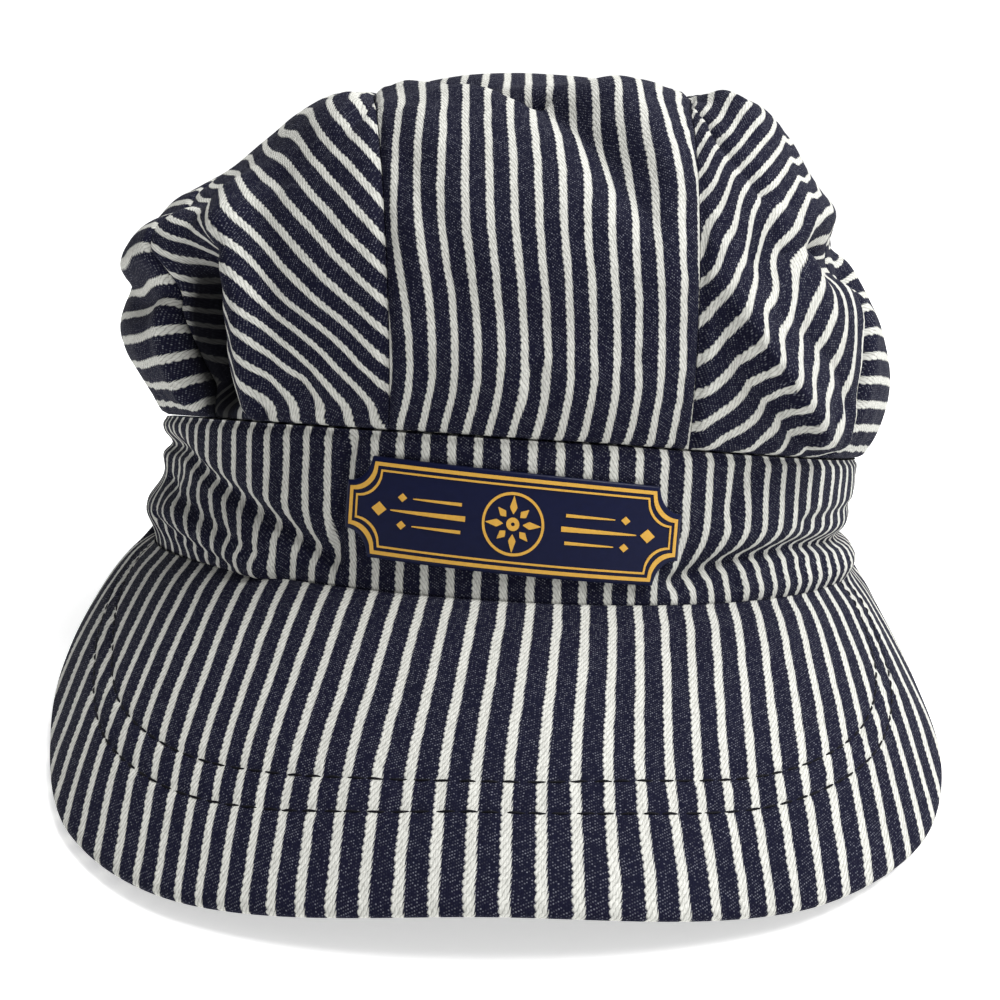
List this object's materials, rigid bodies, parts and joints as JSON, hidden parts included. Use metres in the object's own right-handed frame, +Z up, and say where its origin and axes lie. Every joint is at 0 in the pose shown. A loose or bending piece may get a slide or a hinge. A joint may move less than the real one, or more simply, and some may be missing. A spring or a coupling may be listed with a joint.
{
  "type": "engineer cap",
  "caption": "Soft striped denim engineer cap with a full puffed crown, a folded headband, a stiff curved peak and a small printed badge, resting on a table.",
  "frame": {"origin": "on the table, under the middle of the cap's outline", "axes": "+Z up from the table; the peak points to -Y; +X is to the right as seen from the front"},
  "size_m": [0.1795, 0.2369, 0.1208],
  "materials": {
    "crown_denim": "dark navy denim twill with narrow off-white stripes, soft and creased",
    "band_denim": "the same striped denim, folded double, stripes upright",
    "peak_denim": "the same striped denim stretched smooth over a stiffener, two rows of black topstitching",
    "badge_print": "navy printed vinyl with gold lines, softly glossy"
  },
  "bodies": {
    "root": {"crown_front_panel": "crown_denim", "crown_back_panel": "crown_denim", "crown_left_front_panel": "crown_denim", "crown_left_back_panel": "crown_denim", "crown_right_front_panel": "crown_denim", "crown_right_back_panel": "crown_denim", "band": "band_denim", "peak": "peak_denim", "badge": "badge_print"}
  },
  "joints": []
}
